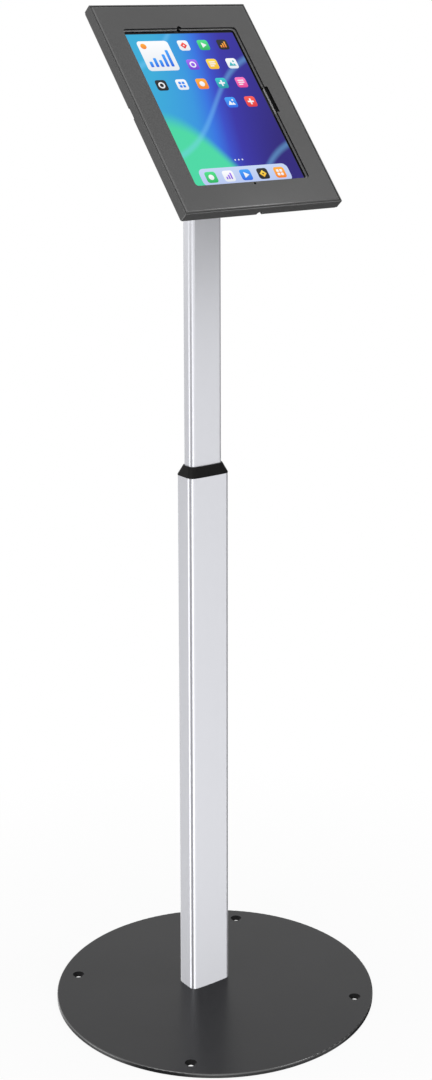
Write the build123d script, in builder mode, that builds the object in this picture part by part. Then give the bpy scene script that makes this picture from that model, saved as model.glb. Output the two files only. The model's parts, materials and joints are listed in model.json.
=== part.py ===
"""Adjustable tablet floor stand: a round steel base, a telescopic pole and a tilting, turning tablet case.

Millimetres, +Z up. The origin is on the floor under the middle of the base, and the case faces -Y.
"""
import math
import os

from build123d import *

os.makedirs("parts", exist_ok=True)

# Base plate and the rubber pads under it
base_diameter = 400
base_thickness = 5
base_rim_radius = 1.5
foot_pad_diameter = 24
foot_pad_thickness = 1
foot_pad_inset = 40
foot_pad_count = 8
anchor_inset = 22
anchor_hole_diameter = 7
anchor_sink_diameter = 14.5
anchor_count = 4

# Lower pole, an aluminium extrusion with crowned wide faces
pole_setback = 23
lower_pole_width = 58
lower_pole_depth = 34
lower_pole_wall = 2.2
lower_pole_crown = 1.2
lower_pole_corner = 7.5
lower_pole_length = 668.5

# Upper pole, the smaller extrusion that slides in the lower one
upper_pole_width = 46
upper_pole_depth = 21
upper_pole_wall = 2
upper_pole_crown = 0.8
upper_pole_corner = 6.6
upper_pole_length = 544.5
upper_pole_insertion = 150
sliding_clearance = 0.3
fixed_clearance = 0.1
running_clearance = 0.05

# Foot block inside the lower pole, and the screws that hold it
foot_block_height = 50
pole_screw_diameter = 6
pole_screw_head_diameter = 12
pole_screw_length = 34
pole_screw_spacing_across = 34
pole_screw_spacing_deep = 13
side_screw_diameter = 5
side_screw_head_diameter = 9
side_screw_length = 12
side_screw_spacing = 20

# Collar on the lower pole's mouth
collar_rim_overhang = 0.2
collar_rim_height = 1
collar_height = 12.5
collar_top_margin = 1.6
sleeve_depth = 40

# Height lock at the back of the lower pole
lock_drop = 22
lock_screw_diameter = 8
lock_screw_head_diameter = 13
lock_screw_head_height = 6
lock_screw_head_gap = 1
lock_socket_width = 6
lock_socket_depth = 3
lock_insert_diameter = 11
lock_insert_flange_diameter = 15
lock_insert_flange_thickness = 1.2
lock_insert_setback = 1.4
lock_pad_diameter = 6.4
lock_pad_thickness = 1.8

# Glide at the bottom of the upper pole
glide_height = 27
glide_floor = 2
glide_plug_height = 18

# Tilt joint
pivot_rise = 22.5
tilt_from_vertical = 41
tilt_bolt_diameter = 8
tilt_bolt_head_diameter = 13
tilt_bolt_head_height = 5
tilt_nut_width = 13
tilt_nut_height = 6.5
tilt_washer_diameter = 16
tilt_washer_thickness = 1.2
yoke_margin = 0.6
yoke_block_height = 8
yoke_spigot_length = 36
yoke_ear_thickness = 6
yoke_ear_radius = 10.5
yoke_gap = 20
yoke_screw_drop = 18
knuckle_radius = 9
knuckle_neck_height = 15
friction_washer_diameter = 18
friction_washer_thickness = 1

# Swivel joint between the tilt knuckle and the case
knuckle_flange_start = 12.5
knuckle_flange_diameter = 44
knuckle_flange_thickness = 4
swivel_washer_diameter = 40
swivel_washer_thickness = 1
swivel_bolt_diameter = 8
swivel_bolt_head_diameter = 16
swivel_bolt_head_height = 2.4
swivel_bolt_thread_length = 9
spring_washer_thickness = 0.9
rotating_face_gap = 0.1
swivel_plate_margin = 8.5
swivel_plate_corner = 8
swivel_plate_thickness = 2.5
case_standoff = 24
case_hole_spacing = 75
case_screw_diameter = 5
case_screw_head_diameter = 9.5
case_screw_head_height = 2.6
case_boss_diameter = 16
clinch_nut_diameter = 9.5
clinch_nut_height = 2.4

# Tablet held in the case
tablet_width = 179
tablet_height = 247
tablet_thickness = 7
tablet_corner = 14
tablet_edge_radius = 1.6
tablet_shift = -2
tablet_rise = -3
tablet_glass_thickness = 0.8
tablet_glass_inset = 1
tablet_front_gap = 0.3

# Case: the rear tray and the front cover that sits inside its walls
case_side_margin = 20
case_end_margin = 22
case_depth = 15
case_sheet = 1.5
case_bend_radius = 2.4
case_corner_relief = 2.6
case_weld_radius = 0.8
cover_corner_relief = 2.4
cover_proud = 0.8
cover_gap = 0.7
cover_edge_radius = 2
cover_lip_depth = 10
window_side_overlap = 10
window_end_overlap = 13.5
window_corner = 4
camera_notch_radius = 2.8
camera_notch_offset = -1
pinhole_radius = 1.5
pinhole_drop = 2.2
button_hole_radius = 1.6
side_notch_length = 37
side_notch_depth = 4
side_notch_rise = 2.5
side_notch_corner = 1
cable_notch_width = 8
cable_notch_height = 6.5
cable_notch_reach = 5
cable_notch_offset = -3
side_cable_notch_length = 16
side_cable_notch_depth = 4
side_cable_notch_rise = 1.4

# Hook tabs of the cover, in slots of the tray's top wall
hook_width = 20
hook_thickness = 1.5
hook_drop = 1.2
hook_spacing = 120
hook_side_clearance = 0.5
hook_slot_top_clearance = 0.2
hook_slot_height = 3.6
hook_tip_gap = 0.2

# Retaining frame and gasket behind the window
gasket_border = 13.5
gasket_thickness = 1.2
gasket_window_margin = 0.8
frame_border = 20.5
frame_thickness = 1
frame_window_reveal = 1.5
frame_rivet_diameter = 4
frame_rivet_head_diameter = 6
frame_rivet_head_height = 0.6
frame_rivet_offset = 16.5
frame_rivet_end_margin = 10

# Foam that carries the tablet
foam_strip_side_margin = 14.5
foam_strip_height = 20
foam_strip_end_margin = 38.5
foam_strip_count = 3
holder_arm = 26
holder_thickness = 9
holder_clearance = 0.3
holder_height = 8

# Cam lock in the case's bottom edge
lock_side_distance = 69.5
lock_edge_distance = 12.5
lock_barrel_diameter = 12
lock_flange_diameter = 15
lock_flange_thickness = 2
lock_rear_reach = 6
lock_inner_reach = 7.4
lock_plug_diameter = 9
lock_plug_recess = 0.6
lock_nut_width = 16
lock_nut_height = 2
lock_cam_length = 10.4
lock_cam_width = 6
lock_cam_thickness = 1.5
lock_cam_seat = 0.2
keyway_width = 1.6
keyway_length = 6
keyway_depth = 3
cam_screw_head_diameter = 5.5
cam_screw_head_height = 1.2
cam_screw_diameter = 3
cam_screw_length = 4
cam_slot_side_clearance = 3.8
cam_slot_clearance = 0.6

# Heights along the pole
base_bottom = foot_pad_thickness
base_top = base_bottom + base_thickness
lower_pole_top = base_top + lower_pole_length
lock_height = lower_pole_top - lock_drop
upper_pole_bottom = lower_pole_top - upper_pole_insertion
upper_pole_top = upper_pole_bottom + upper_pole_length
pivot_height = upper_pole_top + pivot_rise

# The case, its window, the frame and the gasket follow the tablet
case_width = tablet_width + 2 * case_side_margin
case_height = tablet_height + 2 * case_end_margin
window_width = tablet_width - 2 * window_side_overlap
window_height = tablet_height - 2 * window_end_overlap
gasket_width = window_width + 2 * gasket_border
gasket_height = window_height + 2 * gasket_border
frame_width = window_width + 2 * frame_border
frame_height = window_height + 2 * frame_border
frame_rivet_spacing_across = window_width + 2 * frame_rivet_offset
frame_rivet_spacing_along = window_height / 2 - frame_rivet_end_margin
foam_strip_width = tablet_width - 2 * foam_strip_side_margin
foam_strip_spacing = tablet_height / 2 - foam_strip_end_margin
lock_offset = case_width / 2 - lock_side_distance

# Directions of the tilted case: x across it, y up its face, z out of its face
tilt = math.radians(tilt_from_vertical)
out_of_face = Vector(0, -math.cos(tilt), math.sin(tilt))
up_the_face = Vector(0, math.sin(tilt), math.cos(tilt))
tilt_plane = Plane(origin=(0, pole_setback, pivot_height), x_dir=(1, 0, 0), z_dir=out_of_face)
case_plane = tilt_plane.offset(case_standoff)
out_axis = Axis(tilt_plane.origin, out_of_face)


def pole_section(width, depth, crown, corner):
    """Closed outline of an extrusion: flat narrow faces, crowned wide faces and round corners."""
    edge = depth / 2 - crown
    with BuildSketch(Plane.XY) as section:
        with BuildLine():
            ThreePointArc((-width / 2, edge), (0, depth / 2), (width / 2, edge))
            Line((width / 2, edge), (width / 2, -edge))
            ThreePointArc((width / 2, -edge), (0, -depth / 2), (-width / 2, -edge))
            Line((-width / 2, -edge), (-width / 2, edge))
        make_face()
        fillet(section.vertices(), corner)
    return section.sketch


def lower_section(margin):
    """The lower pole's outline, grown by a margin, or shrunk by a negative one."""
    return pole_section(
        lower_pole_width + 2 * margin,
        lower_pole_depth + 2 * margin,
        lower_pole_crown,
        lower_pole_corner + margin,
    )


def upper_section(margin):
    """The upper pole's outline, grown by a margin, or shrunk by a negative one."""
    return pole_section(
        upper_pole_width + 2 * margin,
        upper_pole_depth + 2 * margin,
        upper_pole_crown,
        upper_pole_corner + margin,
    )


def pole_plane(height):
    """Level plane on the poles' axis."""
    return Plane(origin=(0, pole_setback, height), x_dir=(1, 0, 0), z_dir=(0, 0, 1))


def back_plane(height, reach):
    """Upright plane behind the poles' axis, facing backwards."""
    return Plane(origin=(0, pole_setback + reach, height), x_dir=(-1, 0, 0), z_dir=(0, 1, 0))


def pivot_plane(across):
    """Plane square to the tilt axis, at a distance along it."""
    return Plane(origin=(across, pole_setback, pivot_height), x_dir=(0, 1, 0), z_dir=(1, 0, 0))


def save(builder, name):
    """Labels a finished piece and writes it."""
    builder.part.label = name
    export_step(builder.part, f"parts/{name}.step")


# Base plate
under_pole = Plane(origin=(0, pole_setback, base_bottom), x_dir=(1, 0, 0), z_dir=(0, 0, -1))
with BuildPart() as base_plate:
    with BuildSketch(Plane.XY.offset(base_bottom)):
        Circle(base_diameter / 2)
    extrude(amount=base_thickness)
    fillet(base_plate.edges().group_by(Axis.Z)[-1], base_rim_radius)
    with Locations(Plane.XY.offset(base_top)):
        with PolarLocations(base_diameter / 2 - anchor_inset, anchor_count, start_angle=45):
            CounterSinkHole(anchor_hole_diameter / 2, anchor_sink_diameter / 2, counter_sink_angle=90)
    with Locations(under_pole):
        with GridLocations(pole_screw_spacing_across, pole_screw_spacing_deep, 2, 2):
            CounterSinkHole(
                pole_screw_diameter / 2 + fixed_clearance,
                pole_screw_head_diameter / 2 + fixed_clearance,
                counter_sink_angle=90,
            )
save(base_plate, "base_plate")

with BuildPart() as foot_pads:
    with BuildSketch():
        with PolarLocations(base_diameter / 2 - foot_pad_inset, foot_pad_count):
            Circle(foot_pad_diameter / 2)
    extrude(amount=foot_pad_thickness)
save(foot_pads, "foot_pads")

# Foot block and its screws
with BuildPart() as foot_block:
    with BuildSketch(pole_plane(base_top)):
        add(lower_section(-lower_pole_wall - fixed_clearance))
    extrude(amount=foot_block_height)
    chamfer(foot_block.edges().group_by(Axis.Z)[-1], lower_pole_wall / 2)
    with Locations(under_pole):
        with GridLocations(pole_screw_spacing_across, pole_screw_spacing_deep, 2, 2):
            Hole(pole_screw_diameter / 2 + fixed_clearance, depth=pole_screw_length + fixed_clearance)
    with Locations(back_plane(base_top + foot_block_height / 2, lower_pole_depth / 2)):
        with GridLocations(side_screw_spacing, 0, 2, 1):
            Hole(side_screw_diameter / 2 + fixed_clearance, depth=side_screw_length + fixed_clearance)
save(foot_block, "foot_block")

pole_screw_head_height = (pole_screw_head_diameter - pole_screw_diameter) / 2
with BuildPart() as pole_screws:
    with Locations(Plane(origin=(0, pole_setback, base_bottom))):
        with GridLocations(pole_screw_spacing_across, pole_screw_spacing_deep, 2, 2):
            Cylinder(pole_screw_diameter / 2, pole_screw_length, align=(Align.CENTER, Align.CENTER, Align.MIN))
            Cone(
                pole_screw_head_diameter / 2,
                pole_screw_diameter / 2,
                pole_screw_head_height,
                align=(Align.CENTER, Align.CENTER, Align.MIN),
            )
save(pole_screws, "pole_screws")

# Lower pole
with BuildPart() as lower_pole:
    with BuildSketch(pole_plane(base_top)):
        add(lower_section(0))
        add(lower_section(-lower_pole_wall), mode=Mode.SUBTRACT)
    extrude(amount=lower_pole_length)
    with Locations(back_plane(base_top + foot_block_height / 2, lower_pole_depth / 2)):
        with GridLocations(side_screw_spacing, 0, 2, 1):
            Hole(side_screw_diameter / 2 + fixed_clearance, depth=lower_pole_depth / 2)
    with Locations(back_plane(lock_height, lower_pole_depth / 2)):
        Hole(lock_insert_diameter / 2 + fixed_clearance, depth=lower_pole_depth / 2)
save(lower_pole, "lower_pole")

side_screw_head_height = (side_screw_head_diameter - side_screw_diameter) / 2
with BuildPart() as foot_side_screws:
    with BuildSketch(back_plane(base_top + foot_block_height / 2, lower_pole_depth / 2)):
        with GridLocations(side_screw_spacing, 0, 2, 1):
            Circle(side_screw_diameter / 2)
    extrude(amount=-side_screw_length)
    with BuildSketch(back_plane(base_top + foot_block_height / 2, lower_pole_depth / 2)):
        with GridLocations(side_screw_spacing, 0, 2, 1):
            Circle(side_screw_head_diameter / 2)
    extrude(amount=side_screw_head_height)
    chamfer(foot_side_screws.edges().group_by(Axis.Y)[-1], side_screw_head_height / 4)
    with BuildSketch(back_plane(base_top + foot_block_height / 2, lower_pole_depth / 2 + side_screw_head_height)):
        with GridLocations(side_screw_spacing, 0, 2, 1):
            RegularPolygon(side_screw_diameter / 4, 6)
    extrude(amount=-side_screw_head_height / 2, mode=Mode.SUBTRACT)
save(foot_side_screws, "foot_side_screws")

# Collar with the sleeve that guides the upper pole
with BuildPart() as collar:
    with BuildSketch(pole_plane(lower_pole_top)):
        add(lower_section(collar_rim_overhang))
    extrude(amount=collar_rim_height)
    with BuildSketch(pole_plane(lower_pole_top + collar_rim_height)):
        add(lower_section(collar_rim_overhang))
    with BuildSketch(pole_plane(lower_pole_top + collar_height)):
        add(upper_section(collar_top_margin))
    loft()
    with BuildSketch(pole_plane(lower_pole_top)):
        add(lower_section(-lower_pole_wall - fixed_clearance))
    extrude(amount=-sleeve_depth)
    with BuildSketch(pole_plane(lower_pole_top - sleeve_depth)):
        add(upper_section(sliding_clearance))
    extrude(amount=sleeve_depth + collar_height, mode=Mode.SUBTRACT)
    with Locations(back_plane(lock_height, lower_pole_depth / 2)):
        Hole(lock_insert_diameter / 2 + fixed_clearance, depth=lower_pole_depth / 2)
save(collar, "collar")

# Height lock: threaded insert, clamp screw and its pad
lock_insert_length = (lower_pole_depth - upper_pole_depth) / 2 - sliding_clearance - lock_insert_setback
with BuildPart() as lock_insert:
    with BuildSketch(back_plane(lock_height, lower_pole_depth / 2)):
        Circle(lock_insert_flange_diameter / 2)
    extrude(amount=lock_insert_flange_thickness)
    with BuildSketch(back_plane(lock_height, lower_pole_depth / 2)):
        Circle(lock_insert_diameter / 2)
    extrude(amount=-lock_insert_length)
    with BuildSketch(back_plane(lock_height, lower_pole_depth / 2 - lock_insert_length)):
        Circle(lock_screw_diameter / 2 + running_clearance)
    extrude(amount=lock_insert_length + lock_insert_flange_thickness, mode=Mode.SUBTRACT)
save(lock_insert, "lock_insert")

pad_face = upper_pole_depth / 2 + running_clearance
screw_tip = pad_face + lock_pad_thickness + running_clearance
screw_head_start = lower_pole_depth / 2 + lock_insert_flange_thickness + lock_screw_head_gap
with BuildPart() as lock_pad:
    with BuildSketch(back_plane(lock_height, pad_face)):
        Circle(lock_pad_diameter / 2)
    extrude(amount=lock_pad_thickness)
save(lock_pad, "lock_pad")

with BuildPart() as height_lock_screw:
    with BuildSketch(back_plane(lock_height, screw_tip)):
        Circle(lock_screw_diameter / 2)
    extrude(amount=screw_head_start - screw_tip)
    with BuildSketch(back_plane(lock_height, screw_head_start)):
        Circle(lock_screw_head_diameter / 2)
    extrude(amount=lock_screw_head_height)
    chamfer(height_lock_screw.edges().group_by(Axis.Y)[-1], lock_screw_head_height / 8)
    with BuildSketch(back_plane(lock_height, screw_head_start + lock_screw_head_height)):
        RegularPolygon(lock_socket_width / 2, 6, major_radius=False)
    extrude(amount=-lock_socket_depth, mode=Mode.SUBTRACT)
save(height_lock_screw, "height_lock_screw")

# Upper pole
with BuildPart() as upper_pole:
    with BuildSketch(pole_plane(upper_pole_bottom)):
        add(upper_section(0))
        add(upper_section(-upper_pole_wall), mode=Mode.SUBTRACT)
    extrude(amount=upper_pole_length)
    with Locations(back_plane(upper_pole_top - yoke_screw_drop, upper_pole_depth / 2)):
        with GridLocations(side_screw_spacing, 0, 2, 1):
            Hole(side_screw_diameter / 2 + fixed_clearance, depth=upper_pole_depth / 2)
    with Locations(back_plane(upper_pole_bottom + glide_plug_height / 2, upper_pole_depth / 2)):
        Hole(side_screw_diameter / 2 + fixed_clearance, depth=upper_pole_depth / 2)
save(upper_pole, "upper_pole")

# Glide: a plastic cup round the bottom of the upper pole, with a plug up inside it
with BuildPart() as lower_glide:
    with BuildSketch(pole_plane(upper_pole_bottom - glide_floor)):
        add(lower_section(-lower_pole_wall - sliding_clearance))
    extrude(amount=glide_height)
    with BuildSketch(pole_plane(upper_pole_bottom)):
        add(upper_section(fixed_clearance))
        add(upper_section(-upper_pole_wall - fixed_clearance), mode=Mode.SUBTRACT)
    extrude(amount=glide_height, mode=Mode.SUBTRACT)
    with BuildSketch(pole_plane(upper_pole_bottom + glide_plug_height)):
        add(upper_section(-upper_pole_wall))
    extrude(amount=glide_height, mode=Mode.SUBTRACT)
    with Locations(back_plane(upper_pole_bottom + glide_plug_height / 2, lower_pole_depth / 2)):
        Hole(side_screw_head_diameter / 2 + fixed_clearance, depth=(lower_pole_depth - upper_pole_depth) / 2)
        Hole(side_screw_diameter / 2 + fixed_clearance, depth=lower_pole_depth / 2)
save(lower_glide, "lower_glide")

with BuildPart() as glide_screw:
    with BuildSketch(back_plane(upper_pole_bottom + glide_plug_height / 2, upper_pole_depth / 2)):
        Circle(side_screw_diameter / 2)
    extrude(amount=-upper_pole_depth / 2)
    with BuildSketch(back_plane(upper_pole_bottom + glide_plug_height / 2, upper_pole_depth / 2)):
        Circle(side_screw_head_diameter / 2)
    extrude(amount=side_screw_head_height)
save(glide_screw, "glide_screw")

# Tilt yoke: a cast cap with a spigot down the upper pole and two ears
with BuildPart() as tilt_yoke:
    with BuildSketch(pole_plane(upper_pole_top)):
        add(upper_section(-upper_pole_wall - fixed_clearance))
    extrude(amount=-yoke_spigot_length)
    with BuildSketch(pole_plane(upper_pole_top)):
        add(upper_section(yoke_margin))
    extrude(amount=yoke_block_height)
    fillet(tilt_yoke.edges().group_by(Axis.Z)[-1], yoke_margin)
    with BuildSketch(pivot_plane(yoke_gap / 2), pivot_plane(-yoke_gap / 2 - yoke_ear_thickness)):
        Circle(yoke_ear_radius)
        with Locations((0, -(pivot_rise - yoke_block_height / 2) / 2)):
            Rectangle(2 * yoke_ear_radius, pivot_rise - yoke_block_height / 2)
    extrude(amount=yoke_ear_thickness)
    with BuildSketch(pivot_plane(-yoke_gap)):
        Circle(tilt_bolt_diameter / 2 + running_clearance)
    extrude(amount=2 * yoke_gap, mode=Mode.SUBTRACT)
    with Locations(back_plane(upper_pole_top - yoke_screw_drop, upper_pole_depth / 2)):
        with GridLocations(side_screw_spacing, 0, 2, 1):
            Hole(side_screw_diameter / 2 + fixed_clearance, depth=side_screw_length + fixed_clearance)
save(tilt_yoke, "tilt_yoke")

with BuildPart() as yoke_screws:
    with BuildSketch(back_plane(upper_pole_top - yoke_screw_drop, upper_pole_depth / 2)):
        with GridLocations(side_screw_spacing, 0, 2, 1):
            Circle(side_screw_diameter / 2)
    extrude(amount=-side_screw_length)
    with BuildSketch(back_plane(upper_pole_top - yoke_screw_drop, upper_pole_depth / 2)):
        with GridLocations(side_screw_spacing, 0, 2, 1):
            Circle(side_screw_head_diameter / 2)
    extrude(amount=side_screw_head_height)
    chamfer(yoke_screws.edges().group_by(Axis.Y)[-1], side_screw_head_height / 4)
    with BuildSketch(back_plane(upper_pole_top - yoke_screw_drop, upper_pole_depth / 2 + side_screw_head_height)):
        with GridLocations(side_screw_spacing, 0, 2, 1):
            RegularPolygon(side_screw_diameter / 4, 6)
    extrude(amount=-side_screw_head_height / 2, mode=Mode.SUBTRACT)
save(yoke_screws, "yoke_screws")

# Tilt bolt, its washers and its nut
ear_outside = yoke_gap / 2 + yoke_ear_thickness
washer_outside = ear_outside + tilt_washer_thickness
bolt_reach = washer_outside + tilt_nut_height + tilt_washer_thickness
with BuildPart() as tilt_bolt:
    with BuildSketch(pivot_plane(-washer_outside)):
        Circle(tilt_bolt_diameter / 2)
    extrude(amount=washer_outside + bolt_reach)
    with BuildSketch(pivot_plane(-washer_outside)):
        Circle(tilt_bolt_head_diameter / 2)
    extrude(amount=-tilt_bolt_head_height)
    chamfer(tilt_bolt.edges().group_by(Axis.X)[0], tilt_bolt_head_height / 8)
    with BuildSketch(pivot_plane(-washer_outside - tilt_bolt_head_height)):
        RegularPolygon(lock_socket_width / 2, 6, major_radius=False)
    extrude(amount=tilt_bolt_head_height / 2, mode=Mode.SUBTRACT)
save(tilt_bolt, "tilt_bolt")

with BuildPart() as tilt_nut:
    with BuildSketch(pivot_plane(washer_outside)):
        RegularPolygon(tilt_nut_width / 2, 6, major_radius=False)
        Circle(tilt_bolt_diameter / 2 + fixed_clearance, mode=Mode.SUBTRACT)
    extrude(amount=tilt_nut_height)
save(tilt_nut, "tilt_nut")

with BuildPart() as tilt_washers:
    with BuildSketch(pivot_plane(ear_outside), pivot_plane(-washer_outside)):
        Circle(tilt_washer_diameter / 2)
        Circle(tilt_bolt_diameter / 2 + fixed_clearance, mode=Mode.SUBTRACT)
    extrude(amount=tilt_washer_thickness)
save(tilt_washers, "tilt_washers")

# Friction washers between the ears and the knuckle
with BuildPart() as friction_washers:
    with BuildSketch(pivot_plane(-yoke_gap / 2), pivot_plane(yoke_gap / 2 - friction_washer_thickness)):
        Circle(friction_washer_diameter / 2)
        Circle(tilt_bolt_diameter / 2 + fixed_clearance, mode=Mode.SUBTRACT)
    extrude(amount=friction_washer_thickness)
save(friction_washers, "friction_washers")

# Tilt knuckle between the ears, with the flange that the case turns on
knuckle_half_width = yoke_gap / 2 - friction_washer_thickness - running_clearance
flange_face = knuckle_flange_start + knuckle_flange_thickness
with BuildPart() as tilt_knuckle:
    with BuildSketch(pivot_plane(-knuckle_half_width)):
        Circle(knuckle_radius)
    extrude(amount=2 * knuckle_half_width)
    with BuildSketch(tilt_plane):
        Rectangle(2 * knuckle_half_width, knuckle_neck_height)
    extrude(amount=knuckle_flange_start)
    with BuildSketch(tilt_plane.offset(knuckle_flange_start)):
        Circle(knuckle_flange_diameter / 2)
    extrude(amount=knuckle_flange_thickness)
    with BuildSketch(pivot_plane(-yoke_gap)):
        Circle(tilt_bolt_diameter / 2 + running_clearance)
    extrude(amount=2 * yoke_gap, mode=Mode.SUBTRACT)
    with Locations(tilt_plane.offset(flange_face)):
        Hole(swivel_bolt_diameter / 2 + fixed_clearance, depth=swivel_bolt_thread_length + fixed_clearance)
save(tilt_knuckle, "tilt_knuckle")

# Swivel joint: washer on the knuckle's flange, bolt and spring washer
plate_back = flange_face + swivel_washer_thickness + rotating_face_gap
plate_front = plate_back + swivel_plate_thickness
spring_start = plate_front + rotating_face_gap
spring_end = spring_start + spring_washer_thickness
with BuildPart() as swivel_washer:
    with BuildSketch(tilt_plane.offset(flange_face)):
        Circle(swivel_washer_diameter / 2)
        Circle(swivel_bolt_diameter / 2 + fixed_clearance, mode=Mode.SUBTRACT)
    extrude(amount=swivel_washer_thickness)
save(swivel_washer, "swivel_washer")

with BuildPart() as spring_washer:
    with BuildSketch(tilt_plane.offset(spring_start)):
        Circle(swivel_bolt_head_diameter / 2)
        Circle(swivel_bolt_diameter / 2 + fixed_clearance, mode=Mode.SUBTRACT)
    extrude(amount=spring_washer_thickness)
save(spring_washer, "spring_washer")

with BuildPart() as swivel_bolt:
    with BuildSketch(tilt_plane.offset(spring_end)):
        Circle(swivel_bolt_diameter / 2)
    extrude(amount=flange_face - swivel_bolt_thread_length - spring_end)
    with BuildSketch(tilt_plane.offset(spring_end)):
        Circle(swivel_bolt_head_diameter / 2)
    extrude(amount=swivel_bolt_head_height)
    chamfer(swivel_bolt.edges().group_by(out_axis)[-1], swivel_bolt_head_height / 4)
    with BuildSketch(tilt_plane.offset(spring_end + swivel_bolt_head_height)):
        RegularPolygon(side_screw_diameter / 2, 6, major_radius=False)
    extrude(amount=-swivel_bolt_head_height / 2, mode=Mode.SUBTRACT)
save(swivel_bolt, "swivel_bolt")

# Mounting plate with the bosses that space it from the case
swivel_plate_side = case_hole_spacing + 2 * swivel_plate_margin
with BuildPart() as mounting_plate:
    with BuildSketch(tilt_plane.offset(plate_back)):
        RectangleRounded(swivel_plate_side, swivel_plate_side, swivel_plate_corner)
    extrude(amount=swivel_plate_thickness)
    with BuildSketch(tilt_plane.offset(plate_front)):
        with GridLocations(case_hole_spacing, case_hole_spacing, 2, 2):
            Circle(case_boss_diameter / 2)
    extrude(amount=case_standoff - plate_front)
    with BuildSketch(tilt_plane.offset(plate_back)):
        Circle(swivel_bolt_diameter / 2 + running_clearance)
        with GridLocations(case_hole_spacing, case_hole_spacing, 2, 2):
            Circle(case_screw_diameter / 2 + fixed_clearance)
    extrude(amount=case_standoff, mode=Mode.SUBTRACT)
save(mounting_plate, "mounting_plate")

with BuildPart() as case_screws:
    with BuildSketch(tilt_plane.offset(plate_back)):
        with GridLocations(case_hole_spacing, case_hole_spacing, 2, 2):
            Circle(case_screw_diameter / 2)
    extrude(amount=case_standoff + case_sheet + clinch_nut_height - plate_back)
    with BuildSketch(tilt_plane.offset(plate_back)):
        with GridLocations(case_hole_spacing, case_hole_spacing, 2, 2):
            Circle(case_screw_head_diameter / 2)
    extrude(amount=-case_screw_head_height)
    chamfer(case_screws.edges().group_by(out_axis)[0], case_screw_head_height / 4)
    with BuildSketch(tilt_plane.offset(plate_back - case_screw_head_height)):
        with GridLocations(case_hole_spacing, case_hole_spacing, 2, 2):
            RegularPolygon(case_screw_diameter / 4, 6)
    extrude(amount=case_screw_head_height / 2, mode=Mode.SUBTRACT)
save(case_screws, "case_screws")

with BuildPart() as clinch_nuts:
    with BuildSketch(case_plane.offset(case_sheet)):
        with GridLocations(case_hole_spacing, case_hole_spacing, 2, 2):
            Circle(clinch_nut_diameter / 2)
            Circle(case_screw_diameter / 2 + fixed_clearance, mode=Mode.SUBTRACT)
    extrude(amount=clinch_nut_height)
save(clinch_nuts, "clinch_nuts")


def folded_block(plane, width, height, depth, radius):
    """Block standing on a plane, with its edges on that plane rounded like a fold in sheet metal."""
    with BuildPart() as block:
        with BuildSketch(plane):
            Rectangle(width, height)
        extrude(amount=depth)
        fillet(block.edges().group_by(Axis(plane.origin, plane.z_dir))[0], radius)
    return block.part


# Rear tray of the case
tray_depth = case_depth - cover_proud
bottom_wall = Plane(case_plane.origin - up_the_face * case_height / 2, x_dir=(1, 0, 0), z_dir=-up_the_face)
top_wall = Plane(case_plane.origin + up_the_face * case_height / 2, x_dir=(-1, 0, 0), z_dir=up_the_face)
left_wall = Plane(case_plane.origin - Vector(case_width / 2), x_dir=-up_the_face, z_dir=(-1, 0, 0))
hook_top = case_depth - case_sheet - hook_drop
notch_round = cable_notch_width / 2
with BuildPart() as rear_case:
    add(folded_block(case_plane, case_width, case_height, tray_depth, case_bend_radius))
    add(
        folded_block(
            case_plane.offset(case_sheet),
            case_width - 2 * case_sheet,
            case_height - 2 * case_sheet,
            tray_depth,
            case_bend_radius - case_sheet,
        ),
        mode=Mode.SUBTRACT,
    )
    with BuildSketch(case_plane):
        with GridLocations(case_width, case_height, 2, 2):
            Circle(case_corner_relief)
        with GridLocations(case_hole_spacing, case_hole_spacing, 2, 2):
            Circle(case_screw_diameter / 2 + fixed_clearance)
        with Locations((lock_offset, lock_edge_distance - case_height / 2)):
            Circle(lock_barrel_diameter / 2 + fixed_clearance)
    extrude(amount=case_corner_relief, mode=Mode.SUBTRACT)
    with BuildSketch(bottom_wall):
        with Locations((cable_notch_offset, cable_notch_height - notch_round)):
            Circle(notch_round)
            Rectangle(cable_notch_width, 2 * cable_notch_height, align=(Align.CENTER, Align.MAX))
    extrude(amount=-cable_notch_reach, mode=Mode.SUBTRACT)
    with BuildSketch(left_wall):
        with Locations((-side_cable_notch_rise, 0)):
            RectangleRounded(side_cable_notch_length, 2 * side_cable_notch_depth, side_notch_corner)
    extrude(amount=-case_bend_radius, mode=Mode.SUBTRACT)
    with BuildSketch(top_wall):
        with Locations((0, hook_top + hook_slot_top_clearance - hook_slot_height / 2)):
            with GridLocations(hook_spacing, 0, 2, 1):
                Rectangle(hook_width + 2 * hook_side_clearance, hook_slot_height)
    extrude(amount=-2 * case_sheet, mode=Mode.SUBTRACT)
    fillet(rear_case.edges().filter_by(out_axis).sort_by_distance(case_plane.origin)[-4:], case_weld_radius)
save(rear_case, "rear_case")

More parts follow.
